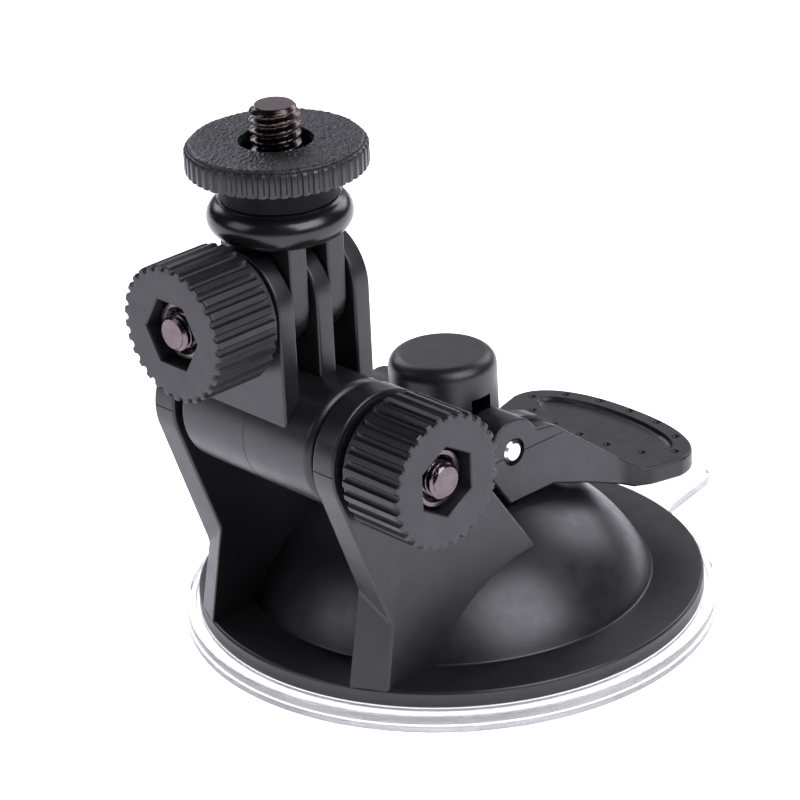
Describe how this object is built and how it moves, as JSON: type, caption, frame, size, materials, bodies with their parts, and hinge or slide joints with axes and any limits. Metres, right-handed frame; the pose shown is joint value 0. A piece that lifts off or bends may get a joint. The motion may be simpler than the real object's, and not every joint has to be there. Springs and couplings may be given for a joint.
{
  "type": "suction cup camera mount",
  "caption": "Suction-cup mount with a clear cup, a lock lever, a barrel tilt hinge, a clevis swivel head with thumb knobs and a tripod screw.",
  "frame": {"origin": "centre of the suction cup in the plane of the surface that it sticks to", "axes": "+Z away from that surface along the cup's axis, +Y towards the lock lever's paddle and the pull tab, +X along the tilt hinge towards its knob"},
  "size_m": [0.0716, 0.0918, 0.0793],
  "materials": {
    "clear_cup": "clear soft polyurethane, glossy",
    "black_plastic": "black ABS with a fine satin grain",
    "lever_plastic": "black ABS with a fine satin grain",
    "inner_plastic": "plain moulded plastic",
    "collar_plastic": "black, smoother than the base",
    "disc_plastic": "black satin plastic",
    "knob_plastic": "dark blue-grey, matte",
    "washer_plastic": "black fibre",
    "pad_rubber": "black with a leather-like grain",
    "screw_steel": "dark plated steel, satin",
    "bolt_steel": "black-nickel plated steel",
    "bright_steel": "bright ground steel",
    "spring_steel": "drawn wire"
  },
  "bodies": {
    "base": {"base_housing": "black_plastic", "suction_cup": "clear_cup", "stem_spring": "spring_steel", "spring_washer": "bright_steel", "lower_bolt": "bolt_steel", "friction_washer_left": "washer_plastic", "friction_washer_right": "washer_plastic", "lower_washer": "bolt_steel"},
    "stem": {"cup_stem": "inner_plastic", "lever_pin": "bright_steel"},
    "lever": {"lever": "lever_plastic"},
    "barrel": {"tilt_barrel": "black_plastic", "upper_bolt": "bolt_steel", "upper_washer": "bolt_steel"},
    "head": {"swivel_head": "collar_plastic", "camera_screw": "screw_steel"},
    "disc": {"locking_disc": "disc_plastic", "disc_pad": "pad_rubber"},
    "lower_knob": {"lower_knob": "knob_plastic", "lower_nut": "bolt_steel"},
    "upper_knob": {"upper_knob": "knob_plastic", "upper_nut": "bolt_steel"}
  },
  "joints": [
    {"name": "stem_slide", "type": "slide", "parent": "base", "child": "stem", "axis": [0, 0, 1], "range_m": [-0.0025, 0], "deforming": ["suction_cup", "stem_spring"]},
    {"name": "lever_pivot", "type": "hinge", "parent": "stem", "child": "lever", "pos_m": [0, 0, 0.0264], "axis": [1, 0, 0], "range_deg": [0, 80]},
    {"name": "barrel_tilt", "type": "hinge", "parent": "base", "child": "barrel", "pos_m": [0, -0.0266, 0.0368], "axis": [1, 0, 0], "range_deg": [-30, 90]},
    {"name": "head_swivel", "type": "hinge", "parent": "barrel", "child": "head", "pos_m": [0, -0.0266, 0.0547], "axis": [0, 1, 0], "range_deg": [-70, 70]},
    {"name": "disc_spin", "type": "hinge", "parent": "head", "child": "disc", "pos_m": [0, -0.0266, 0.073], "axis": [0, 0, 1], "continuous": true},
    {"name": "lower_knob_spin", "type": "hinge", "parent": "base", "child": "lower_knob", "pos_m": [0.023, -0.0266, 0.0368], "axis": [1, 0, 0], "continuous": true},
    {"name": "upper_knob_spin", "type": "hinge", "parent": "barrel", "child": "upper_knob", "pos_m": [0, -0.04, 0.0547], "axis": [0, 1, 0], "continuous": true}
  ],
  "couplings": [
    {"joint": "stem_slide", "follows": "lever_pivot", "m_per_rad": -0.00179}
  ]
}
